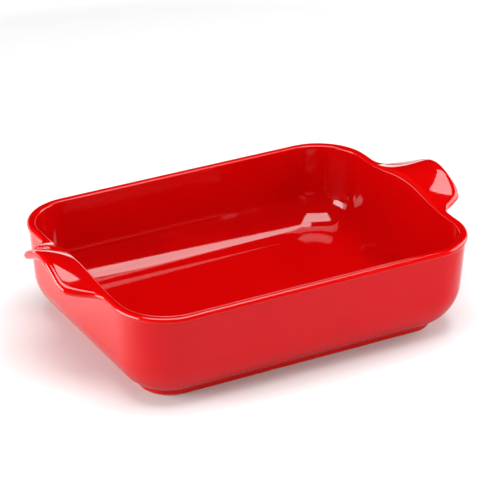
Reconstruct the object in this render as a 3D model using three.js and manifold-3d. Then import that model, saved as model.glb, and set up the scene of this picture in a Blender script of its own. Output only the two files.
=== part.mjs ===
import * as THREE from 'three';
import { mergeVertices } from 'three/addons/utils/BufferGeometryUtils.js';
import Module from 'manifold-3d';

// Deep rectangular baking dish in red glazed stoneware, with a rolled rim, an arched handle
// at each end and a foot ring. Millimetres, +Z up. X runs along the dish, Y across it, and
// the origin is on the table under the middle of the dish.

// Rim
const RIM_LENGTH = 340; // outside of the rim, end to end
const RIM_WIDTH = 259.4; // outside of the rim, front to back
const RIM_HEIGHT = 89.4; // top of the rim above the table
const RIM_CORNER = 49.5; // plan radius of the rim's corners
const BEAD_RADIUS = 3; // rolled outer edge of the rim
const BEAD_OVERHANG = 1.3; // how far the roll stands out from the wall below it
const RIM_FLAT = 0.5; // level stretch on top of the rim
const INNER_ROUND = 3.8; // round on the rim's inner edge

// Basin
const WALL_DRAFT = 4.25; // degrees that the wall leans in towards the floor
const HEEL_RADIUS = 41; // outside round between the wall and the underside
const COVE_RADIUS = 33; // inside round between the wall and the floor
const FLOOR_THICKNESS = 8.5;

// Foot ring
const FOOT_INSET = 28.2; // end of the heel, measured in from the outside of the rim
const FOOT_CORNER = 28; // plan radius of the heel's corners at its end
const FOOT_HEIGHT = 5.5; // flat underside above the table
const FOOT_WIDTH = 9;
const FOOT_STEP = 0.2; // groove between the heel's end and the foot ring's outside
const FOOT_CHAMFER = 0.8; // bevel along both edges of the contact face

// Handles, one at each end
const HANDLE_REACH = 27.4; // how far the edge swings out past the rim
const HANDLE_RISE = 16.8; // how far the edge arches up above the rim
const EDGE_RADIUS = 4.2; // rolled edge at the grip
const GRIP_LENGTH = 58; // straight stretch of the edge with its full reach
const GRIP_CORNER = 14.5; // plan radius from the grip into each flank
const FLANK_ANGLE = 57; // degrees that a flank turns in from the grip
const ROOT_ROUND = 20; // plan radius from each flank into the rim
const ARCH_LENGTH = 109; // span of the arched edge
const RIDGE_RISE = 5.4; // how far the rim's inner round rises along the handle
const RIDGE_SHIFT = 6.2; // how far the rim's inner round moves out along the handle
const RIDGE_ROUND = 9; // inner round at the top of its rise
const RIDGE_LENGTH = 130; // span of the risen inner round
const UNDER_DROP = 4; // dip of the underside below the rolled edge
const HANDLE_ROOT = 9; // where the underside meets the wall, below the rim

// Slip joints between the pieces
const SLIP_JOINT = 0.3; // gap filled by slip and glaze
const SEAT_LAND = 3; // wall carried by a handle below its root
const SEAT_MARGIN = 4; // plain rim carried by a handle past each flank

// Facets
const CORNER_STEPS = 12;
const ROUND_STEPS = 8;
const BEAD_STEPS = 9;
const INNER_STEPS = 5;
const CURVE_STEPS = 6;
const HANDLE_STEPS = 40;

const CROWN = 0.72; // where the top of a handle stops climbing, as a share of its reach
const EDGE_WRAP = 110; // degrees that the rolled edge turns under at the grip

const GLAZE_RED = 0xc80a0a;
const SHADED_RED = 0xa80808;

const radians = THREE.MathUtils.degToRad;
const lerp = THREE.MathUtils.lerp;

// Values that follow from the driving dimensions
const LEAN = Math.tan(radians(WALL_DRAFT));
const CREASE_ANGLE = Math.acos((BEAD_RADIUS - BEAD_OVERHANG) / BEAD_RADIUS);
const CREASE_HEIGHT = RIM_HEIGHT - BEAD_RADIUS * (1 + Math.sin(CREASE_ANGLE));
const RIM_BAND = BEAD_RADIUS + RIM_FLAT + INNER_ROUND;
const INNER_TOP = RIM_HEIGHT - INNER_ROUND;
const FLOOR_TOP = FOOT_HEIGHT + FLOOR_THICKNESS;
const FLANK_TURN = radians(FLANK_ANGLE);
const FLANK_REACH = HANDLE_REACH - (GRIP_CORNER + ROOT_ROUND) * (1 - Math.cos(FLANK_TURN));
const GRIP_END = GRIP_LENGTH / 2;
const FLANK_START = GRIP_END + GRIP_CORNER * Math.sin(FLANK_TURN);
const FLANK_END = FLANK_START + FLANK_REACH / Math.tan(FLANK_TURN);
const ROOT_END = FLANK_END + ROOT_ROUND * Math.sin(FLANK_TURN);
const SEAT_HALF = ROOT_END + SEAT_MARGIN;
const SEAT_HEIGHT = RIM_HEIGHT - HANDLE_ROOT - SEAT_LAND;

const wasm = await Module();
wasm.setup();

// Inset of the outside of the wall from the rim's outside, at a height.
function outerInset(z) {
  return BEAD_OVERHANG + (CREASE_HEIGHT - z) * LEAN;
}

// Inset of the inside of the wall from the rim's outside, at a height.
function innerInset(z) {
  return RIM_BAND + (INNER_TOP - z) * LEAN;
}

// Plan radius of the corners at an inset from the rim's outside.
function cornerRadius(inset) {
  return RIM_CORNER + (FOOT_CORNER - RIM_CORNER) * inset / FOOT_INSET;
}

// X of the end wall at an inset and a distance y from the middle, round the corner included.
function endFace(inset, y) {
  const radius = cornerRadius(inset);
  const past = Math.max(0, Math.abs(y) - (RIM_WIDTH / 2 - inset - radius));
  return RIM_LENGTH / 2 - inset - radius + Math.sqrt(Math.max(0, radius ** 2 - past ** 2));
}

// Rounded rectangle at an inset and a height, anticlockwise from above.
function ring({ x: inset, y: z }) {
  const radius = cornerRadius(inset);
  const alongX = RIM_LENGTH / 2 - inset - radius;
  const alongY = RIM_WIDTH / 2 - inset - radius;
  const points = [];
  for (const [quarter, [signX, signY]] of [[1, 1], [-1, 1], [-1, -1], [1, -1]].entries()) {
    for (let step = 0; step <= CORNER_STEPS; step++) {
      const angle = (quarter + step / CORNER_STEPS) * Math.PI / 2;
      const x = signX * alongX + radius * Math.cos(angle);
      const y = signY * alongY + radius * Math.sin(angle);
      points.push(new THREE.Vector3(x, y, z));
    }
  }
  return points;
}

// Points of an ellipse arc about a centre, from one angle to another.
function arc(centre, radiusX, radiusY, from, to, steps) {
  return Array.from({ length: steps + 1 }, (_, step) => {
    const angle = lerp(from, to, step / steps);
    return new THREE.Vector2(centre.x + radiusX * Math.cos(angle), centre.y + radiusY * Math.sin(angle));
  });
}

// Round of a given radius between two straight stretches that meet at a corner.
function fillet(before, corner, after, radius) {
  const back = before.clone().sub(corner).normalize();
  const ahead = after.clone().sub(corner).normalize();
  const half = Math.acos(back.dot(ahead)) / 2;
  const middle = back.clone().add(ahead).normalize();
  const centre = corner.clone().addScaledVector(middle, radius / Math.sin(half));
  const start = corner.clone().addScaledVector(back, radius / Math.tan(half)).sub(centre);
  const turn = Math.sign(ahead.cross(back)) * (Math.PI - 2 * half);
  const from = start.angle();
  return arc(centre, radius, radius, from, from + turn, ROUND_STEPS);
}

// Inner points of a quadratic curve, without its two ends.
function bend(start, control, end) {
  return new THREE.QuadraticBezierCurve(start, control, end).getPoints(CURVE_STEPS).slice(1, -1);
}

// Closed surface through loops with equal numbers of points. The first and last loops are
// capped in the plane that flatten gives, or joined to each other if there is no plane.
function skin(loops, flatten) {
  const count = loops[0].length;
  const index = [];
  const spans = flatten ? loops.length - 1 : loops.length;
  for (let row = 0; row < spans; row++) {
    const next = (row + 1) % loops.length;
    for (let i = 0; i < count; i++) {
      const j = (i + 1) % count;
      index.push(row * count + i, row * count + j, next * count + j);
      index.push(row * count + i, next * count + j, next * count + i);
    }
  }
  if (flatten) {
    const last = (loops.length - 1) * count;
    for (const [a, b, c] of cap(loops[0].map(flatten))) {
      index.push(a, c, b);
    }
    for (const [a, b, c] of cap(loops.at(-1).map(flatten))) {
      index.push(last + a, last + b, last + c);
    }
  }
  const geometry = new THREE.BufferGeometry().setFromPoints(loops.flat());
  geometry.setIndex(index);
  return geometry;
}

// Triangles that fill a flat outline, turning the same way as the outline.
function cap(outline) {
  const turns = THREE.ShapeUtils.isClockWise(outline);
  return THREE.ShapeUtils.triangulateShape(outline, []).map(([a, b, c]) => {
    const same = THREE.ShapeUtils.isClockWise([outline[a], outline[b], outline[c]]) === turns;
    return same ? [a, b, c] : [a, c, b];
  });
}

function toSolid(geometry) {
  const plain = geometry.clone();
  plain.deleteAttribute('normal');
  plain.deleteAttribute('uv');
  const merged = mergeVertices(plain);
  const vertProperties = merged.attributes.position.array;
  const triVerts = Uint32Array.from(merged.index.array);
  return new wasm.Manifold(new wasm.Mesh({ numProp: 3, vertProperties, triVerts }));
}

function toGeometry(solid) {
  const mesh = solid.getMesh();
  const geometry = new THREE.BufferGeometry();
  geometry.setAttribute('position', new THREE.BufferAttribute(mesh.vertProperties, 3));
  geometry.setIndex(new THREE.BufferAttribute(mesh.triVerts, 1));
  return geometry;
}

// Round of the heel, from the end of the underside up to where it runs into the wall.
function heelRound() {
  const draft = radians(WALL_DRAFT);
  const end = new THREE.Vector2(FOOT_INSET, FOOT_HEIGHT);
  const up = new THREE.Vector2(-Math.sin(draft), Math.cos(draft));
  const inward = new THREE.Vector2(Math.cos(draft), Math.sin(draft));
  const depth = (FOOT_INSET - outerInset(FOOT_HEIGHT)) * Math.cos(draft);
  const climb = Math.sqrt(depth * (2 * HEEL_RADIUS - depth));
  const centre = end.clone().addScaledVector(inward, HEEL_RADIUS - depth).addScaledVector(up, climb);
  const from = end.clone().sub(centre).angle();
  return arc(centre, HEEL_RADIUS, HEEL_RADIUS, from, Math.PI + draft, ROUND_STEPS);
}

// Inset and height along the basin, from the underside over the rim to the floor.
function basinProfile() {
  const beadCentre = new THREE.Vector2(BEAD_RADIUS, RIM_HEIGHT - BEAD_RADIUS);
  const innerCentre = new THREE.Vector2(RIM_BAND - INNER_ROUND, INNER_TOP);
  const innerEdge = new THREE.Vector2(RIM_BAND, INNER_TOP);
  const floorEdge = new THREE.Vector2(innerInset(FLOOR_TOP), FLOOR_TOP);
  const floorMiddle = new THREE.Vector2(RIM_WIDTH / 2, FLOOR_TOP);
  return [
    ...heelRound(),
    ...arc(beadCentre, BEAD_RADIUS, BEAD_RADIUS, Math.PI + CREASE_ANGLE, Math.PI / 2, BEAD_STEPS),
    ...arc(innerCentre, INNER_ROUND, INNER_ROUND, Math.PI / 2, 0, INNER_STEPS),
    ...fillet(innerEdge, floorEdge, floorMiddle, COVE_RADIUS),
  ];
}

// Space that a handle takes out of the rim at an end of the dish.
function seatCut(side) {
  const inside = endFace(innerInset(SEAT_HEIGHT) + SLIP_JOINT, SEAT_HALF);
  const outside = RIM_LENGTH / 2 + SLIP_JOINT;
  const top = RIM_HEIGHT + SLIP_JOINT;
  const box = new THREE.BoxGeometry(outside - inside, 2 * SEAT_HALF, top - SEAT_HEIGHT);
  box.translate(side * (inside + outside) / 2, 0, (SEAT_HEIGHT + top) / 2);
  return toSolid(box);
}

function dishBody() {
  const basin = skin(basinProfile().map(ring), ({ x, y }) => new THREE.Vector2(x, y));
  return toGeometry(toSolid(basin).subtract(seatCut(1)).subtract(seatCut(-1)));
}

// Swing of the rolled edge past the rim, and its slope in plan, at a distance from the middle.
function edgeSwing(along) {
  if (along < GRIP_END) {
    return { out: HANDLE_REACH, slope: 0 };
  }
  if (along < FLANK_START) {
    const over = along - GRIP_END;
    const level = Math.sqrt(GRIP_CORNER ** 2 - over ** 2);
    return { out: HANDLE_REACH - GRIP_CORNER + level, slope: over / level };
  }
  if (along < FLANK_END) {
    const slope = Math.tan(FLANK_TURN);
    const start = HANDLE_REACH - GRIP_CORNER * (1 - Math.cos(FLANK_TURN));
    return { out: start - (along - FLANK_START) * slope, slope };
  }
  const left = Math.max(0, ROOT_END - along);
  const level = Math.sqrt(ROOT_ROUND ** 2 - left ** 2);
  return { out: ROOT_ROUND - level, slope: left / level };
}

// Height of a smooth arch as a share of its full rise, at a distance from the middle.
function archShare(along, span) {
  return along < span / 2 ? Math.cos(Math.PI * along / span) ** 2 : 0;
}

// Outline of the handle in the plane at y, from the inner face over the top to the seat.
function handleSection(y) {
  const along = Math.abs(y);
  const { out, slope } = edgeSwing(along);
  const swing = out / HANDLE_REACH;
  const arch = archShare(along, ARCH_LENGTH);
  const lift = archShare(along, RIDGE_LENGTH);

  const edgeX = endFace(BEAD_RADIUS, y) + out;
  const edge = new THREE.Vector2(edgeX, RIM_HEIGHT - BEAD_RADIUS + HANDLE_RISE * arch);
  const edgeRadius = lerp(BEAD_RADIUS, EDGE_RADIUS, swing);
  const edgeSpread = edgeRadius * Math.sqrt(1 + slope ** 2);
  const edgeEnd = -lerp(CREASE_ANGLE, radians(EDGE_WRAP), swing);
  const roll = arc(edge, edgeSpread, edgeRadius, Math.PI / 2, edgeEnd, BEAD_STEPS);

  const ridgeX = endFace(RIM_BAND - INNER_ROUND, y) + RIDGE_SHIFT * lift;
  const ridge = new THREE.Vector2(ridgeX, INNER_TOP + RIDGE_RISE * lift);
  const ridgeRadius = lerp(INNER_ROUND, RIDGE_ROUND, lift);
  const crown = new THREE.Vector2(lerp(ridge.x, edge.x, CROWN), edge.y + edgeRadius);
  const climb = Math.atan2(crown.y - ridge.y - ridgeRadius, crown.x - ridge.x);
  const inner = arc(ridge, ridgeRadius, ridgeRadius, Math.PI, Math.PI / 2 + climb, INNER_STEPS);

  const seat = SEAT_HEIGHT + SLIP_JOINT;
  const rootHeight = RIM_HEIGHT - HANDLE_ROOT;
  const root = new THREE.Vector2(endFace(outerInset(rootHeight), y), rootHeight);
  const under = new THREE.Vector2(root.x, roll.at(-1).y - UNDER_DROP * swing);
  const outline = [
    new THREE.Vector2(endFace(innerInset(seat), y), seat),
    ...inner,
    ...bend(inner.at(-1), crown, roll[0]),
    ...roll,
    ...bend(roll.at(-1), under, root),
    root,
    new THREE.Vector2(endFace(outerInset(seat), y), seat),
  ];
  return outline.map((point) => new THREE.Vector3(point.x, y, point.y));
}

function handle() {
  const end = SEAT_HALF - SLIP_JOINT;
  const sections = Array.from({ length: HANDLE_STEPS + 1 }, (_, step) => {
    return handleSection(lerp(-end, end, step / HANDLE_STEPS));
  });
  return skin(sections, ({ x, z }) => new THREE.Vector2(x, z));
}

// Ring under the basin that the dish stands on, bevelled along its contact face.
function footRing() {
  const outside = FOOT_INSET + FOOT_STEP;
  const inside = outside + FOOT_WIDTH;
  const top = FOOT_HEIGHT - SLIP_JOINT;
  const profile = [
    new THREE.Vector2(inside - FOOT_CHAMFER, 0),
    new THREE.Vector2(outside + FOOT_CHAMFER, 0),
    new THREE.Vector2(outside, FOOT_CHAMFER),
    new THREE.Vector2(outside, top),
    new THREE.Vector2(inside, top),
    new THREE.Vector2(inside, FOOT_CHAMFER),
  ];
  return skin(profile.map(ring));
}

function glazed(color) {
  return new THREE.MeshStandardMaterial({ color, roughness: 0.08, metalness: 0 });
}

function piece(name, geometry, material) {
  geometry.computeVertexNormals();
  const mesh = new THREE.Mesh(geometry, material);
  mesh.name = name;
  return mesh;
}

const dish = new THREE.Group();
const red = glazed(GLAZE_RED);
dish.add(piece('dish_body', dishBody(), red));
dish.add(piece('handle_right', handle(), red));
const handleLeft = piece('handle_left', handle(), red);
handleLeft.rotation.z = Math.PI;
dish.add(handleLeft);
dish.add(piece('foot_ring', footRing(), glazed(SHADED_RED)));

export default dish;
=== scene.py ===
import math

import bmesh
import bpy
import numpy as np
from mathutils import Euler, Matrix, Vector


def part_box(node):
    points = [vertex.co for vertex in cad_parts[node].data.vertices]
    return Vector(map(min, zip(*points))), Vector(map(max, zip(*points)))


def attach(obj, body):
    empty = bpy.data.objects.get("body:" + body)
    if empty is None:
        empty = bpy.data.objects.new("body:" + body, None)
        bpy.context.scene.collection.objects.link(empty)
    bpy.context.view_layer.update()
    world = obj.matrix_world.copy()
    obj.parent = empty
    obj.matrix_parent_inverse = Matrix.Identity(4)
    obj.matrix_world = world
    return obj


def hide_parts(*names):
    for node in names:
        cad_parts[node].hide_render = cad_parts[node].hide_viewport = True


# Deep rectangular baking dish in red glazed stoneware. Metres, +Z up. X runs along the dish,
# Y across it, and the origin is on the table under the middle of the dish.

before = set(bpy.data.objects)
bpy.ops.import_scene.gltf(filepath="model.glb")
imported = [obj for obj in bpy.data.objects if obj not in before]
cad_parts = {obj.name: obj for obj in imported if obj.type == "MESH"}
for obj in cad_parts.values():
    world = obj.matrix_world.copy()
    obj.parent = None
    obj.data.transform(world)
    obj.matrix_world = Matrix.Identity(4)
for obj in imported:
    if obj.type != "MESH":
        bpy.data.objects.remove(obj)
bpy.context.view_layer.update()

MM = 0.001
QUARTER_TURN = math.pi / 2

# Sizes that the frame gives
body_low, body_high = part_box("dish_body")
handle_low, handle_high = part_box("handle_right")
HALF_LENGTH = body_high.x
HALF_WIDTH = body_high.y
RIM_HEIGHT = body_high.z
FOOT_HEIGHT = body_low.z

# Rim
RIM_CORNER = 49.5 * MM
BEAD_RADIUS = 3 * MM
BEAD_OVERHANG = 1.3 * MM
RIM_FLAT = 2.3 * MM
RIM_FALL = 0.4 * MM
INNER_ROUND = 2 * MM
CREASE_ROOT = 5.8 * MM
CREASE_WRAP = math.radians(48)
CREASE_PULL = 0.45

# Basin
WALL_DRAFT = math.radians(4.25)
HEEL_RADIUS = 41 * MM
COVE_RADIUS = 33 * MM
FLOOR_THICKNESS = 8.5 * MM

# Foot ring
FOOT_INSET = 28.2 * MM
FOOT_CORNER = 28 * MM
FOOT_WIDTH = 9 * MM
FOOT_STEP = 0.2 * MM
FOOT_ROUND = 1.2 * MM
FOOT_FILLET = 1.6 * MM
OUTER_SINK = 1.3
INNER_SINK = 1.1

# Handles
SLIP_JOINT = 0.3 * MM
SEAT_HALF = handle_high.y + SLIP_JOINT
SEAT_HEIGHT = handle_low.z - SLIP_JOINT
EDGE_RADIUS = 4.2 * MM
HANDLE_REACH = handle_high.x - EDGE_RADIUS - HALF_LENGTH + BEAD_RADIUS
HANDLE_RISE = handle_high.z - EDGE_RADIUS - RIM_HEIGHT + BEAD_RADIUS
GRIP_LENGTH = 58 * MM
GRIP_CORNER = 14.5 * MM
FLANK_TURN = math.radians(57)
ROOT_ROUND = 20 * MM
ARCH_LENGTH = 109 * MM
RIDGE_RISE = 4 * MM
RIDGE_SHIFT = 8 * MM
RIDGE_ROUND = 9 * MM
RIDGE_LENGTH = 130 * MM
RIDGE_LEAN = math.radians(17)
HANDLE_ROOT = 9 * MM
EDGE_WRAP = math.radians(110)
CROWN = 0.72
TOP_PULL = 2 / 3
FALL_PULL = 0.35
SOFTENING = 1.2 * MM
SOFTENING_REACH = 3

# Mesh steps
CORNER_STEPS = 40
SIDE_STEPS = 24
MARGIN_STEPS = 2
SEAT_STEPS = 120
HEEL_STEPS = 24
COVE_STEPS = 22
LAND_STEPS = 4
UNDER_STEPS = 14
ROLL_STEPS = 28
TOP_STEPS = 24
FLAT_STEPS = 6
RIDGE_STEPS = 12
WALL_STEPS = 5
SPAN_STEPS = 3
FOOT_STEPS = 8
WELD = 0.002 * MM
SHARP_EDGE = math.radians(40)

# Depth of the glaze on each point, above 0 where it pools and below 0 where it is thin. In the crease
# under the rolled edge it also carries painted shade.
GLAZE_DEPTH_AND_SHADE = "glaze_depth_and_shade"
# Glaze pools in the crease under the rolled edge; its deep red there is also painted shade.
CREASE_POOL_AND_SHADE = 1
EDGE_DEPTH = -1
HEEL_DEPTH = -0.2
COVE_DEPTH = 0.5

# Camera, fitted to the outline in the photograph
CAMERA_AIM = (0.0217, 0.0329, 0.045)
CAMERA_TURN = math.radians(28.675)
CAMERA_TILT = math.radians(26.458)
CAMERA_DISTANCE = 2.3657
CAMERA_LENS = 189.5
SENSOR_WIDTH = 36

# Values that follow from the sizes
LEAN = math.tan(WALL_DRAFT)
CREASE_ANGLE = math.acos((BEAD_RADIUS - BEAD_OVERHANG) / BEAD_RADIUS)
CREASE_HEIGHT = RIM_HEIGHT - BEAD_RADIUS * (1 + math.sin(CREASE_ANGLE))
RIM_BAND = BEAD_RADIUS + RIM_FLAT + INNER_ROUND
INNER_TOP = RIM_HEIGHT - RIM_FALL - INNER_ROUND
FLOOR_TOP = FOOT_HEIGHT + FLOOR_THICKNESS
CORNER_FALL = (RIM_CORNER - FOOT_CORNER) / FOOT_INSET
GRIP_END = GRIP_LENGTH / 2
FLANK_REACH = HANDLE_REACH - (GRIP_CORNER + ROOT_ROUND) * (1 - math.cos(FLANK_TURN))
FLANK_START = GRIP_END + GRIP_CORNER * math.sin(FLANK_TURN)
FLANK_END = FLANK_START + FLANK_REACH / math.tan(FLANK_TURN)
ROOT_END = FLANK_END + ROOT_ROUND * math.sin(FLANK_TURN)


def lerp(start, end, share):
    return start + (end - start) * share


class Socket:
    """A node's output. Arithmetic on it adds Math nodes to the tree that it belongs to."""

    def __init__(self, graph, output):
        self.graph = graph
        self.output = output

    def named(self, name):
        return Socket(self.graph, self.output.node.outputs[name])

    def math(self, operation, *others):
        values = dict(enumerate((self, *others)))
        return self.graph.node("ShaderNodeMath", {"operation": operation}, values)

    def reflected(self, operation, other):
        return self.graph.node("ShaderNodeMath", {"operation": operation}, {0: other, 1: self})

    def __add__(self, other):
        return self.math("ADD", other)

    def __radd__(self, other):
        return self.reflected("ADD", other)

    def __sub__(self, other):
        return self.math("SUBTRACT", other)

    def __rsub__(self, other):
        return self.reflected("SUBTRACT", other)

    def __mul__(self, other):
        return self.math("MULTIPLY", other)

    def __rmul__(self, other):
        return self.reflected("MULTIPLY", other)

    def __truediv__(self, other):
        return self.math("DIVIDE", other)

    def __gt__(self, other):
        return self.math("GREATER_THAN", other)

    def __lt__(self, other):
        return self.math("LESS_THAN", other)

    def clamp(self, low=0.0, high=1.0):
        return self.math("MAXIMUM", low).math("MINIMUM", high)

    def step(self, low, high):
        """0 below low, 1 above high, and smooth between them."""
        settings = {"interpolation_type": "SMOOTHSTEP"}
        inputs = {"Value": self, "From Min": low, "From Max": high}
        return self.graph.node("ShaderNodeMapRange", settings, inputs)


class Graph:
    """A node tree that is filled from Python expressions."""

    def __init__(self, tree):
        self.tree = tree

    def node(self, kind, settings=None, inputs=None, output=0):
        made = self.tree.nodes.new(kind)
        for name, value in (settings or {}).items():
            setattr(made, name, value)
        for key, value in (inputs or {}).items():
            if isinstance(value, Socket):
                self.tree.links.new(value.output, made.inputs[key])
            else:
                made.inputs[key].default_value = value
        return Socket(self, made.outputs[output]) if len(made.outputs) else None

    def mix(self, factor, first, second):
        """A mix of two colours. The node's colour sockets share their names, so they go by number."""
        settings = {"data_type": "RGBA", "clamp_factor": True}
        made = self.node("ShaderNodeMix", settings, {"Factor": factor}, output=2)
        for slot, value in ((6, first), (7, second)):
            socket = made.output.node.inputs[slot]
            if isinstance(value, Socket):
                self.tree.links.new(value.output, socket)
            else:
                socket.default_value = (*value, 1)
        return made


# Profiles

def arc(centre, radius_x, radius_z, start, end, steps):
    """Points of an ellipse arc about a centre, from one angle to another."""
    angles = np.linspace(start, end, steps + 1)
    x = centre[0] + radius_x * np.cos(angles)
    z = centre[1] + radius_z * np.sin(angles)
    return np.column_stack((x, z))


def line(start, end, steps):
    shares = np.linspace(0, 1, steps + 1)[:, None]
    return lerp(np.asarray(start), np.asarray(end), shares)


def bend(start, start_aim, end_aim, end, steps):
    """Points of a cubic curve that leaves start towards start_aim and reaches end from end_aim."""
    t = np.linspace(0, 1, steps + 1)[:, None]
    a, b, c, d = (np.asarray(point) for point in (start, start_aim, end_aim, end))
    return (1 - t) ** 3 * a + 3 * (1 - t) ** 2 * t * b + 3 * (1 - t) * t ** 2 * c + t ** 3 * d


def joined(*stretches):
    """One run of points from stretches that each start where the last one ends."""
    return np.concatenate([stretches[0]] + [stretch[1:] for stretch in stretches[1:]])


def outer_inset(z):
    return BEAD_OVERHANG + (CREASE_HEIGHT - z) * LEAN


def inner_inset(z):
    return RIM_BAND + (INNER_TOP - z) * LEAN


def edge_swing(along):
    """Swing of the rolled edge past the rim, and its slope in plan, at a distance from the middle."""
    if along < GRIP_END:
        return HANDLE_REACH, 0.0
    if along < FLANK_START:
        over = along - GRIP_END
        level = math.sqrt(GRIP_CORNER ** 2 - over ** 2)
        return HANDLE_REACH - GRIP_CORNER + level, over / level
    if along < FLANK_END:
        slope = math.tan(FLANK_TURN)
        start = HANDLE_REACH - GRIP_CORNER * (1 - math.cos(FLANK_TURN))
        return start - (along - FLANK_START) * slope, slope
    left = max(0.0, ROOT_END - along)
    level = math.sqrt(ROOT_ROUND ** 2 - left ** 2)
    return ROOT_ROUND - level, left / level


def arch_share(along, span):
    """Height of a smooth arch as a share of its full rise, at a distance from the middle."""
    return math.cos(math.pi * along / span) ** 2 if along < span / 2 else 0.0


def rim_section(y, top_steps):
    """X and Z over the rim in the plane at y, from the seat outside to the seat inside."""
    along = abs(y)
    out, plan_slope = edge_swing(along)
    swing = out / HANDLE_REACH
    arch = arch_share(along, ARCH_LENGTH)
    lift = arch_share(along, RIDGE_LENGTH)

    edge = np.array((HALF_LENGTH - BEAD_RADIUS + out, RIM_HEIGHT - BEAD_RADIUS + HANDLE_RISE * arch))
    radius = lerp(BEAD_RADIUS, EDGE_RADIUS, swing)
    spread = radius * math.sqrt(1 + plan_slope ** 2)
    wrap = lerp(CREASE_WRAP, EDGE_WRAP, swing)
    roll = arc(edge, spread, radius, -wrap, QUARTER_TURN, ROLL_STEPS)

    root_height = RIM_HEIGHT - lerp(CREASE_ROOT, HANDLE_ROOT, swing)
    root = np.array((HALF_LENGTH - outer_inset(root_height), root_height))
    seat_out = (HALF_LENGTH - outer_inset(SEAT_HEIGHT), SEAT_HEIGHT)
    up_wall = np.array((math.sin(WALL_DRAFT), math.cos(WALL_DRAFT)))
    roll_aim = np.array((spread * math.sin(wrap), radius * math.cos(wrap)))
    roll_aim /= np.linalg.norm(roll_aim)
    under_pull = np.linalg.norm(roll[0] - root) * CREASE_PULL
    root_aim = root + up_wall * under_pull
    under = bend(root, root_aim, roll[0] - roll_aim * under_pull, roll[0], UNDER_STEPS)

    ridge_x = HALF_LENGTH - RIM_BAND + INNER_ROUND + RIDGE_SHIFT * lift
    ridge = np.array((ridge_x, INNER_TOP + RIDGE_RISE * lift))
    ridge_radius = lerp(INNER_ROUND, RIDGE_ROUND, lift)
    crown = np.array((lerp(ridge[0], edge[0], CROWN), edge[1] + radius))
    climb = math.atan2(crown[1] - ridge[1] - ridge_radius, crown[0] - ridge[0])
    inner_end = math.pi - lerp(WALL_DRAFT, RIDGE_LEAN, lift)
    inner = arc(ridge, ridge_radius, ridge_radius, QUARTER_TURN + climb, inner_end, RIDGE_STEPS)
    slope = np.array((math.cos(climb), math.sin(climb)))
    slope_aim = inner[0] + slope * np.linalg.norm(crown - inner[0]) * TOP_PULL
    top = bend(roll[-1], lerp(roll[-1], crown, TOP_PULL), slope_aim, inner[0], top_steps)

    seat_in = np.array((HALF_LENGTH - inner_inset(SEAT_HEIGHT), SEAT_HEIGHT))
    fall_pull = (inner[-1][1] - SEAT_HEIGHT) * FALL_PULL
    heading = inner_end + QUARTER_TURN
    fall_aim = inner[-1] + np.array((math.cos(heading), math.sin(heading))) * fall_pull
    fall = bend(inner[-1], fall_aim, seat_in + up_wall * fall_pull, seat_in, WALL_STEPS)
    return joined(line(seat_out, root, LAND_STEPS), under, roll, top, inner, fall)


def heel_round():
    """Inset and height of the heel, from the end of the underside up to the wall."""
    end = np.array((FOOT_INSET, FOOT_HEIGHT))
    inward = np.array((math.cos(WALL_DRAFT), math.sin(WALL_DRAFT)))
    up = np.array((-math.sin(WALL_DRAFT), math.cos(WALL_DRAFT)))
    depth = (FOOT_INSET - outer_inset(FOOT_HEIGHT)) * math.cos(WALL_DRAFT)
    climb = math.sqrt(depth * (2 * HEEL_RADIUS - depth))
    centre = end + inward * (HEEL_RADIUS - depth) + up * climb
    start = math.atan2(*(end - centre)[::-1]) + 2 * math.pi
    return arc(centre, HEEL_RADIUS, HEEL_RADIUS, start, math.pi + WALL_DRAFT, HEEL_STEPS)


def cove_round():
    """Inset and height of the cove, from the inner wall down to the floor."""
    centre_height = FLOOR_TOP + COVE_RADIUS
    centre = (inner_inset(centre_height) + COVE_RADIUS / math.cos(WALL_DRAFT), centre_height)
    return arc(centre, COVE_RADIUS, COVE_RADIUS, math.pi + WALL_DRAFT, 3 * QUARTER_TURN, COVE_STEPS)


def basin_profile():
    """Inset and height round the basin, from the middle of the underside to the middle of the floor."""
    rim = rim_section(SEAT_HALF, FLAT_STEPS)
    rim[:, 0] = HALF_LENGTH - rim[:, 0]
    heel = heel_round()
    cove = cove_round()
    return joined(
        line((HALF_WIDTH, FOOT_HEIGHT), heel[0], SPAN_STEPS),
        heel,
        line(heel[-1], rim[0], WALL_STEPS),
        rim,
        line(rim[-1], cove[0], WALL_STEPS),
        cove,
        line(cove[-1], (HALF_WIDTH, FLOOR_TOP), SPAN_STEPS),
    )


def swell(steps, height):
    """A run of glaze depths that starts and ends at none."""
    return height * np.sin(np.linspace(0, math.pi, steps + 1))


def rim_depths(top_steps):
    """Glaze depth over each row of a rim section: it pools in the crease, where its deep red is also
    painted shade, and is thin over the rolled edges.
    """
    return joined(
        swell(LAND_STEPS, 0),
        swell(UNDER_STEPS, CREASE_POOL_AND_SHADE),
        swell(ROLL_STEPS, EDGE_DEPTH),
        swell(top_steps, 0),
        swell(RIDGE_STEPS, EDGE_DEPTH),
        swell(WALL_STEPS, 0),
    )


def basin_depths():
    """Glaze depth, with the painted shade in the crease, over each row of the basin's profile."""
    return joined(
        swell(SPAN_STEPS, 0),
        swell(HEEL_STEPS, HEEL_DEPTH),
        swell(WALL_STEPS, 0),
        rim_depths(FLAT_STEPS),
        swell(WALL_STEPS, 0),
        swell(COVE_STEPS, COVE_DEPTH),
        swell(SPAN_STEPS, 0),
    )


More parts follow.
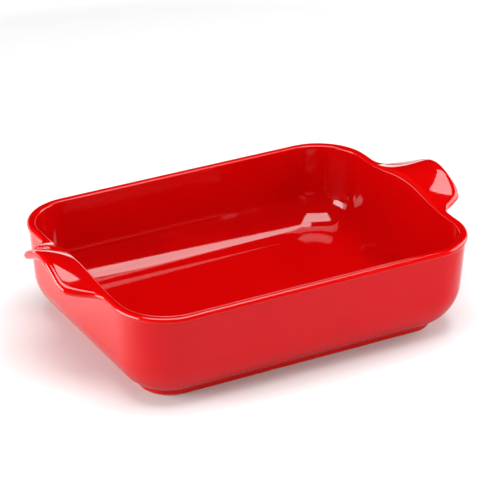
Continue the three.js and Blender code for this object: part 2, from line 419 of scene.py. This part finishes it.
def foot_profile():
    """Inset and height round the foot ring, closed, with its fillets sunk into the underside."""
    outside = FOOT_INSET + FOOT_STEP
    inside = outside + FOOT_WIDTH
    fillet_height = FOOT_HEIGHT - FOOT_FILLET

    def quarter(inset, height, radius, stretch, start, end):
        """A quarter of an ellipse, whose start and end count quarter turns."""
        angles = (start * QUARTER_TURN, end * QUARTER_TURN)
        return arc((inset, height), radius, radius * stretch, *angles, FOOT_STEPS)

    inner_edge = quarter(inside - FOOT_ROUND, FOOT_ROUND, FOOT_ROUND, 1, 4, 3)
    outer_edge = quarter(outside + FOOT_ROUND, FOOT_ROUND, FOOT_ROUND, 1, 3, 2)
    heel_side = quarter(outside - FOOT_FILLET, fillet_height, FOOT_FILLET, OUTER_SINK, 0, 1)
    floor_side = quarter(inside + FOOT_FILLET, fillet_height, FOOT_FILLET, INNER_SINK, 1, 2)
    loop = np.concatenate((inner_edge, outer_edge, heel_side, floor_side))
    return np.concatenate((loop, loop[:1]))


# Sweep of a profile round the dish, as a Geometry Nodes tree

SWEEP_INPUTS = {
    "Half Length": ("NodeSocketFloat", HALF_LENGTH),
    "Half Width": ("NodeSocketFloat", HALF_WIDTH),
    "Rim Corner": ("NodeSocketFloat", RIM_CORNER),
    "Corner Fall": ("NodeSocketFloat", CORNER_FALL),
    "Seat Half": ("NodeSocketFloat", SEAT_HALF),
    "Corner Steps": ("NodeSocketInt", CORNER_STEPS),
    "Side Steps": ("NodeSocketInt", SIDE_STEPS),
    "Margin Steps": ("NodeSocketInt", MARGIN_STEPS),
    "Seat Steps": ("NodeSocketInt", SEAT_STEPS),
    "Seat Height": ("NodeSocketFloat", SEAT_HEIGHT),
    "Glaze": ("NodeSocketMaterial", None),
}


def sweep_tree():
    """Sweeps a profile of insets and heights round the rounded rectangle of the dish."""
    tree = bpy.data.node_groups.new("dish_sweep", "GeometryNodeTree")
    tree.interface.new_socket("Profile", in_out="INPUT", socket_type="NodeSocketGeometry")
    for name, (kind, _) in SWEEP_INPUTS.items():
        tree.interface.new_socket(name, in_out="INPUT", socket_type=kind)
    tree.interface.new_socket("Geometry", in_out="OUTPUT", socket_type="NodeSocketGeometry")
    graph = Graph(tree)
    given = graph.node("NodeGroupInput")
    profile = given.named("Profile")
    corner_steps = given.named("Corner Steps")
    side_steps = given.named("Side Steps")
    margin_steps = given.named("Margin Steps")
    seat_steps = given.named("Seat Steps")

    rows = graph.node("GeometryNodeAttributeDomainSize", {"component": "MESH"}, {"Geometry": profile})
    end_start = 2 * corner_steps + side_steps
    half_turn = end_start + 2 * margin_steps + seat_steps
    columns = 2 * half_turn + 1
    grid = graph.node("GeometryNodeMeshGrid", None, {"Vertices X": columns, "Vertices Y": rows})

    index = graph.node("GeometryNodeInputIndex")
    row = index.math("MODULO", rows)
    column = (index / rows).math("FLOOR").math("MODULO", 2 * half_turn)
    second = (column / half_turn).math("FLOOR")
    place = column - second * half_turn

    position = graph.node("GeometryNodeInputPosition")
    sampled = graph.node(
        "GeometryNodeSampleIndex",
        {"data_type": "FLOAT_VECTOR"},
        {"Geometry": profile, "Value": position, "Index": row},
    )
    parts = graph.node("ShaderNodeSeparateXYZ", None, {0: sampled})
    inset = parts.named("X")
    height = parts.named("Z")
    radius = (given.named("Rim Corner") - inset * given.named("Corner Fall")).math("MAXIMUM", 0.0)
    along_x = (given.named("Half Length") - inset - radius).math("MAXIMUM", 0.0)
    along_y = (given.named("Half Width") - inset - radius).math("MAXIMUM", 0.0)

    def share(start, steps):
        return ((place - start) / steps).clamp()

    turned = share(0, corner_steps) + share(corner_steps + side_steps, corner_steps)
    angle = turned * QUARTER_TURN
    crossed = share(corner_steps, side_steps)
    far_margin = end_start + margin_steps + seat_steps
    margins = share(end_start, margin_steps) + share(far_margin, margin_steps)
    seated = share(end_start + margin_steps, seat_steps)
    straight = given.named("Half Width") - given.named("Rim Corner")
    seat_half = given.named("Seat Half")
    station = straight - (straight - seat_half) * margins - 2 * seat_half * seated
    x = along_x * (1 - 2 * crossed) + radius * angle.math("COSINE")
    y = station.math("MINIMUM", along_y).math("MAXIMUM", 0 - along_y) + radius * angle.math("SINE")
    side = 1 - 2 * second
    placed = graph.node("ShaderNodeCombineXYZ", None, {"X": x * side, "Y": y * side, "Z": height})
    moved = graph.node("GeometryNodeSetPosition", None, {"Geometry": grid, "Position": placed})
    depth = graph.node("GeometryNodeInputNamedAttribute", {"data_type": "FLOAT"}, {"Name": GLAZE_DEPTH_AND_SHADE})
    row_depth = graph.node(
        "GeometryNodeSampleIndex",
        None,
        {"Geometry": profile, "Value": depth, "Index": row},
    )
    shape = graph.node(
        "GeometryNodeStoreNamedAttribute",
        None,
        {"Geometry": moved, "Name": GLAZE_DEPTH_AND_SHADE, "Value": row_depth},
    )

    face = graph.node("ShaderNodeSeparateXYZ", None, {0: position})
    over_seat = face.named("Z") > given.named("Seat Height")
    along_seat = face.named("Y").math("ABSOLUTE") < seat_half
    cut = graph.node(
        "GeometryNodeDeleteGeometry",
        {"domain": "FACE"},
        {"Geometry": shape, "Selection": over_seat * along_seat},
    )
    welded = graph.node("GeometryNodeMergeByDistance", None, {"Geometry": cut, "Distance": WELD})
    smooth = graph.node("GeometryNodeSetShadeSmooth", None, {"Geometry": welded})
    real = graph.node("GeometryNodeRealizeInstances", None, {"Geometry": smooth})
    finish = given.named("Glaze")
    glazed = graph.node("GeometryNodeSetMaterial", None, {"Geometry": real, "Material": finish})
    graph.node("NodeGroupOutput", None, {"Geometry": glazed})
    return tree


def store_depths(mesh, depths):
    """Puts the depth of the glaze, with the painted shade in the crease, on each point of a mesh."""
    attribute = mesh.attributes.new(GLAZE_DEPTH_AND_SHADE, "FLOAT", "POINT")
    attribute.data.foreach_set("value", depths.astype(np.float32))


def swept(name, profile, depths, tree, **inputs):
    """A mesh object swept from a profile of insets and heights, with the glaze's depth and the painted
    crease shade on each row.
    """
    rail = bpy.data.meshes.new(name)
    points = [(inset, 0.0, height) for inset, height in profile]
    rail.from_pydata(points, [(i, i + 1) for i in range(len(points) - 1)], [])
    store_depths(rail, depths)
    piece = bpy.data.objects.new(name, rail)
    bpy.context.scene.collection.objects.link(piece)
    modifier = piece.modifiers.new("sweep", "NODES")
    modifier.node_group = tree
    values = {key: value for key, (_, value) in SWEEP_INPUTS.items()}
    values.update(inputs)
    for item in tree.interface.items_tree:
        if item.in_out == "INPUT" and item.name in values:
            modifier[item.identifier] = values[item.name]
    ready = piece.evaluated_get(bpy.context.evaluated_depsgraph_get())
    piece.data = bpy.data.meshes.new_from_object(ready)
    piece.modifiers.remove(modifier)
    bpy.data.meshes.remove(rail)
    return piece


def closed(piece):
    """Points the faces of a closed piece outwards and keeps its hidden seat edges sharp."""
    shape = bmesh.new()
    shape.from_mesh(piece.data)
    bmesh.ops.recalc_face_normals(shape, faces=shape.faces)
    shape.to_mesh(piece.data)
    shape.free()
    piece.data.set_sharp_from_angle(angle=SHARP_EDGE)
    return piece


def close_seats(piece):
    """Gives the gaps that the sweep leaves for the handles a floor and two ends."""
    shape = bmesh.new()
    shape.from_mesh(piece.data)
    ends = [edge for edge in shape.edges if edge.is_boundary]
    middle = HALF_LENGTH - (outer_inset(SEAT_HEIGHT) + inner_inset(SEAT_HEIGHT)) / 2

    def at_end(vert, side, end):
        return vert.co.x * side > 0 and abs(vert.co.y - end) < WELD

    for side in (1, -1):
        points = {vert for edge in ends for vert in edge.verts if vert.co.x * side > 0}
        floor = [vert for vert in points if abs(vert.co.z - SEAT_HEIGHT) < WELD]
        outer = sorted((v for v in floor if v.co.x * side > middle), key=lambda v: v.co.y)
        inner = sorted((v for v in floor if v.co.x * side < middle), key=lambda v: v.co.y)
        for step in range(len(outer) - 1):
            shape.faces.new((outer[step], outer[step + 1], inner[step + 1], inner[step]))
        for end in (SEAT_HALF, -SEAT_HALF):
            outline = [
                edge for edge in shape.edges
                if edge.is_boundary and all(at_end(vert, side, end) for vert in edge.verts)
            ]
            bmesh.ops.contextual_create(shape, geom=outline)
    shape.to_mesh(piece.data)
    shape.free()
    return piece


def softened(sections):
    """Rounds off the joints between the stretches of a handle, along its length."""
    spacing = 2 * SEAT_HALF / SEAT_STEPS
    reach = int(SOFTENING_REACH * SOFTENING / spacing)
    weights = np.exp(-0.5 * (np.arange(-reach, reach + 1) * spacing / SOFTENING) ** 2)
    weights /= weights.sum()
    padded = np.pad(sections, ((reach, reach), (0, 0), (0, 0)), mode="edge")
    count = len(sections)
    return sum(weight * padded[shift:shift + count] for shift, weight in enumerate(weights))


def handle(name, side, glaze):
    """An arched end handle with its stretch of rim, closed where it sits in its seat."""
    stations = np.linspace(-SEAT_HALF, SEAT_HALF, SEAT_STEPS + 1)
    sections = softened(np.array([rim_section(y, TOP_STEPS) for y in stations]))
    count = sections.shape[1]
    points = [(side * x, side * y, z) for y, section in zip(stations, sections) for x, z in section]
    faces = []
    for station in range(SEAT_STEPS):
        for row in range(count):
            ahead = (row + 1) % count
            here = station * count
            there = here + count
            faces.append((here + row, here + ahead, there + ahead, there + row))
    faces.append(tuple(range(count)))
    faces.append(tuple(range(SEAT_STEPS * count, (SEAT_STEPS + 1) * count)))
    mesh = bpy.data.meshes.new(name)
    mesh.from_pydata(points, [], faces)
    store_depths(mesh, np.tile(rim_depths(TOP_STEPS), len(stations)))
    mesh.shade_smooth()
    mesh.materials.append(glaze)
    piece = bpy.data.objects.new(name, mesh)
    bpy.context.scene.collection.objects.link(piece)
    return closed(piece)


# Finishes

GLAZE_INDEX = 1.62
GLAZE_RED = (0.51, 0.0008, 0.001)
# Deep red where the glaze pools, also the painted shade in the crease under the rolled edge.
GLAZE_DEEP_AND_SHADE = (0.41, 0.0005, 0.0008)
GLAZE_THIN = (0.6, 0.003, 0.002)
BARE_CLAY = (0.46, 0.33, 0.22)
CLAY_GRAIN = (0.33, 0.21, 0.13)
GLAZE_ROUGHNESS = 0.04
PATCH_ROUGHNESS = 0.04
CLAY_ROUGHNESS = 0.8
GLAZE_LINE = 1.0 * MM
LINE_BLUR = 0.3

# Where deep glaze with the painted crease shade, thin glaze and dark grain in the clay set in, and where
# they are full
POOLED_AND_SHADED = (-0.1, 1.1)
THINNED = (0.25, 1.3)
GRAINED = (0.45, 0.75)

# Width of the lumps in the glaze and the clay, and how much each of them counts
CLOUD_SIZE = 45 * MM
CLOUD_SHARE = 0.9
MOTTLE_SIZE = 9 * MM
MOTTLE_SHARE = 0.5
EDGE_MOTTLE_SHARE = 0.8
PATCH_SIZE = 30 * MM
RIPPLE_SIZE = 24 * MM
RIPPLE_HEIGHT = 0.02 * MM
PEEL_SIZE = 4 * MM
PEEL_SHARE = 0.12
WANDER_SIZE = 12 * MM
GRAIN_SIZE = 0.8 * MM
GRAIN_SHARE = 4


def new_finish(name):
    """A material with its node graph, its shader and its object coordinates."""
    material = bpy.data.materials.new(name)
    material.use_nodes = True
    graph = Graph(material.node_tree)
    shader = material.node_tree.nodes["Principled BSDF"]
    shader.inputs["IOR"].default_value = GLAZE_INDEX
    coordinates = graph.node("ShaderNodeTexCoord").named("Object")
    return material, graph, shader, coordinates


def noise(graph, coordinates, size, detail=2.0):
    """Noise from 0 to 1 whose lumps are about the given size across."""
    inputs = {"Vector": coordinates, "Scale": 1 / size, "Detail": detail}
    return graph.node("ShaderNodeTexNoise", None, inputs)


def lumps(graph, coordinates, size, detail=2.0):
    """The same noise from -0.5 to 0.5."""
    return noise(graph, coordinates, size, detail) - 0.5


def glaze_colour(graph, coordinates):
    """Red that breaks paler over the crests and pools deeper in the hollows, with a soft mottle. In the
    crease under the rolled edge the deep red is also painted shade.
    """
    depth = graph.node("ShaderNodeAttribute", {"attribute_name": GLAZE_DEPTH_AND_SHADE}).named("Fac")
    cloud = lumps(graph, coordinates, CLOUD_SIZE)
    mottle = lumps(graph, coordinates, MOTTLE_SIZE, detail=4.0)
    # Deep glaze where it pools, and painted shade in the crease under the rolled edge.
    pooled_and_shaded = (depth + cloud * CLOUD_SHARE + mottle * MOTTLE_SHARE).step(*POOLED_AND_SHADED)
    thinned = (mottle * EDGE_MOTTLE_SHARE - depth).step(*THINNED)
    body = graph.mix(pooled_and_shaded, GLAZE_RED, GLAZE_DEEP_AND_SHADE)
    return graph.mix(thinned, body, GLAZE_THIN)


def glaze_roughness(graph, coordinates):
    """Roughness of the fired glaze: nearly a mirror, with slightly duller patches."""
    patch = noise(graph, coordinates, PATCH_SIZE, detail=3.0)
    return GLAZE_ROUGHNESS + patch * PATCH_ROUGHNESS


def glaze_ripple(graph, coordinates):
    """Height of the slow ripple and the fine orange peel in the glaze."""
    ripple = noise(graph, coordinates, RIPPLE_SIZE, detail=1.0)
    peel = noise(graph, coordinates, PEEL_SIZE, detail=1.0)
    return ripple + peel * PEEL_SHARE


def bumped(graph, height, distance):
    inputs = {"Height": height, "Strength": 1.0, "Distance": distance}
    return graph.node("ShaderNodeBump", None, inputs)


def feed(graph, shader, colour, roughness, normal):
    """Links what changes over a surface to its shader."""
    for name, value in (("Base Color", colour), ("Roughness", roughness), ("Normal", normal)):
        graph.tree.links.new(value.output, shader.inputs[name])


def red_glaze():
    material, graph, shader, coordinates = new_finish("red_glaze")
    ripple = bumped(graph, glaze_ripple(graph, coordinates), RIPPLE_HEIGHT)
    colour = glaze_colour(graph, coordinates)
    feed(graph, shader, colour, glaze_roughness(graph, coordinates), ripple)
    return material


def foot_glaze():
    """The same glaze down the sides of the foot, wiped off the face that stood in the kiln."""
    material, graph, shader, coordinates = new_finish("foot_glaze")
    height = graph.node("ShaderNodeSeparateXYZ", None, {0: coordinates}).named("Z")
    wander = lumps(graph, coordinates, WANDER_SIZE)
    line_start = GLAZE_LINE * (1 - LINE_BLUR)
    line_end = GLAZE_LINE * (1 + LINE_BLUR)
    wiped = 1 - (height + wander * GLAZE_LINE).step(line_start, line_end)
    grain = noise(graph, coordinates, GRAIN_SIZE, detail=3.0)
    clay = graph.mix(grain.step(*GRAINED), BARE_CLAY, CLAY_GRAIN)
    colour = graph.mix(wiped, glaze_colour(graph, coordinates), clay)
    glazed = glaze_roughness(graph, coordinates)
    roughness = glazed + (CLAY_ROUGHNESS - glazed) * wiped
    relief = glaze_ripple(graph, coordinates) + grain * wiped * GRAIN_SHARE
    feed(graph, shader, colour, roughness, bumped(graph, relief, RIPPLE_HEIGHT))
    return material


# Stage

FLOOR_PALE = (0.8, 0.8, 0.8)
# Painted shade on the floor in reflections: darker on the near side, black in front of the dish.
FLOOR_NEAR_SHADE = (0.22, 0.22, 0.26)
FLOOR_FRONT_SHADE = (0.0, 0.0, 0.0)
FLOOR_FAR = (0.75, 0.75, 0.75)
FLOOR_ROUGHNESS = 0.9
FLOOR_HALF = 4.0
FILL_LIGHT = 0.45
BACKDROP_GLOW = 2.6
OVERHEAD_HEIGHT = 1.5

# Where one tone of the floor, or the backdrop's edge, gives way to the next
FAR_EDGE = (-0.17, 0.02)
FRONT_EDGE = (-0.32, -0.26)
WHITE_EDGE = (0.75, 1.0)
BACKDROP_SIDE = (-0.1, 0.5)
BACKDROP_TOP = (0.03, 0.11)


def stage_floor():
    """Pale floor, white far from the dish. The glaze mirrors it darker, like the studio's unlit side."""
    mesh = bpy.data.meshes.new("floor")
    corners = [(x * FLOOR_HALF, y * FLOOR_HALF, 0) for x, y in ((-1, -1), (1, -1), (1, 1), (-1, 1))]
    mesh.from_pydata(corners, [], [(0, 1, 2, 3)])
    floor = bpy.data.objects.new("floor", mesh)
    bpy.context.scene.collection.objects.link(floor)
    material = bpy.data.materials.new("pale_floor")
    material.use_nodes = True
    graph = Graph(material.node_tree)
    shader = material.node_tree.nodes["Principled BSDF"]
    shader.inputs["Roughness"].default_value = FLOOR_ROUGHNESS
    shader.inputs["Specular IOR Level"].default_value = 0.0
    path = graph.node("ShaderNodeLightPath")
    mirrored = path.named("Is Glossy Ray")
    coordinates = graph.node("ShaderNodeTexCoord").named("Object")
    parts = graph.node("ShaderNodeSeparateXYZ", None, {0: coordinates})
    along = parts.named("X")
    across = parts.named("Y")
    away = (along * along + across * across).math("SQRT")
    # Painted shade: in reflections the floor takes darker tones, darkest in front of the dish, for the
    # studio's unlit side.
    table = graph.mix(across.step(*FAR_EDGE), FLOOR_NEAR_SHADE, FLOOR_FAR)
    seen = graph.mix(across.step(*FRONT_EDGE), FLOOR_FRONT_SHADE, table)
    colour = graph.mix(mirrored, FLOOR_PALE, seen)
    graph.tree.links.new(colour.output, shader.inputs["Base Color"])
    # The glow that turns the far floor white is for the camera alone and lights nothing.
    glow = away.step(*WHITE_EDGE) * path.named("Is Camera Ray")
    graph.tree.links.new(glow.output, shader.inputs["Emission Strength"])
    material.cycles.emission_sampling = "NONE"
    mesh.materials.append(material)


def studio_world():
    """White to the camera, a soft fill on the dish, and a low white backdrop in its reflections."""
    world = bpy.data.worlds.new("studio")
    bpy.context.scene.world = world
    world.use_nodes = True
    graph = Graph(world.node_tree)
    aim = graph.node("ShaderNodeTexCoord").named("Generated")
    parts = graph.node("ShaderNodeSeparateXYZ", None, {0: aim})
    behind = parts.named("Y").step(*BACKDROP_SIDE)
    backdrop = behind * (1 - parts.named("Z").step(*BACKDROP_TOP))
    path = graph.node("ShaderNodeLightPath")
    shown = FILL_LIGHT + (backdrop * BACKDROP_GLOW - FILL_LIGHT) * path.named("Is Glossy Ray")
    level = shown + (1 - shown) * path.named("Is Camera Ray")
    background = world.node_tree.nodes["Background"]
    background.inputs["Color"].default_value = (1, 1, 1, 1)
    graph.tree.links.new(level.output, background.inputs["Strength"])


def photo_camera():
    """A camera at the photograph's viewing angle."""
    data = bpy.data.cameras.new("photo_camera")
    data.lens = CAMERA_LENS
    data.sensor_width = SENSOR_WIDTH
    camera = bpy.data.objects.new("photo_camera", data)
    bpy.context.scene.collection.objects.link(camera)
    level = math.cos(CAMERA_TILT)
    across = math.sin(CAMERA_TURN) * level
    along = math.cos(CAMERA_TURN) * level
    ahead = Vector((across, along, -math.sin(CAMERA_TILT)))
    camera.location = Vector(CAMERA_AIM) - ahead * CAMERA_DISTANCE
    camera.rotation_euler = ahead.to_track_quat("-Z", "Y").to_euler()
    bpy.context.scene.camera = camera


def soft_box(name, place, turn, size, glow):
    """A rectangular studio light of an even glow, hidden from the camera itself."""
    data = bpy.data.lights.new(name, "AREA")
    data.shape = "RECTANGLE"
    data.size, data.size_y = size
    data.energy = glow * math.pi * size[0] * size[1]
    lamp = bpy.data.objects.new(name, data)
    lamp.location = place
    lamp.rotation_euler = turn
    lamp.visible_camera = False
    bpy.context.scene.collection.objects.link(lamp)
    return lamp


def overhead_box(name, across, ahead, glow):
    """A level box over the dish, squared to the camera, from its spans across and ahead."""
    middle = Vector((sum(across) / 2, sum(ahead) / 2, OVERHEAD_HEIGHT))
    middle.rotate(Euler((0, 0, -CAMERA_TURN)))
    size = (across[1] - across[0], ahead[1] - ahead[0])
    soft_box(name, middle, (0, 0, -CAMERA_TURN), size, glow)


def side_box(name, x, across, up, glow):
    """An upright box beside the dish, facing it, from its spans across the dish and up."""
    place = (x, sum(across) / 2, sum(up) / 2)
    turn = (0, math.copysign(QUARTER_TURN, x), 0)
    soft_box(name, place, turn, (up[1] - up[0], across[1] - across[0]), glow)


def fill_box(name, place, aim, size, glow):
    """Soft light from a place towards an aim, kept out of the reflections in the glaze."""
    turn = (Vector(aim) - Vector(place)).to_track_quat("-Z", "Y").to_euler()
    lamp = soft_box(name, place, turn, size, glow)
    lamp.visible_glossy = False


glaze = red_glaze()
tree = sweep_tree()
basin = closed(close_seats(swept("glazed_basin", basin_profile(), basin_depths(), tree, Glaze=glaze)))
foot_line = foot_profile()
foot = closed(swept("glazed_foot", foot_line, np.zeros(len(foot_line)), tree, Glaze=foot_glaze()))
handle_right = handle("glazed_handle_right", 1, glaze)
handle_left = handle("glazed_handle_left", -1, glaze)
for piece, node, slot in (
    (basin, "dish_body", "red_glaze"),
    (handle_right, "handle_right", "red_glaze"),
    (handle_left, "handle_left", "red_glaze"),
    (foot, "foot_ring", "foot_glaze"),
):
    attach(piece, "root")
    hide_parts(node)

photo_camera()
stage_floor()
studio_world()
overhead_box("overhead", across=(-0.58, 0.70), ahead=(-0.6, 0.2), glow=5.2)
overhead_box("overhead_back", across=(0.25, 0.70), ahead=(0.2, 0.85), glow=4.6)
side_box("left", x=-1.1, across=(-0.3, 0.75), up=(0.01, 0.61), glow=7.5)
side_box("right", x=1.1, across=(-0.76, 0.28), up=(0.1, 0.9), glow=3.6)
fill_box("front_fill", place=(0.25, -0.75, 0.2), aim=(0.1, -0.1, 0.05), size=(0.5, 0.4), glow=3.4)
bpy.context.scene.view_settings.view_transform = "Standard"
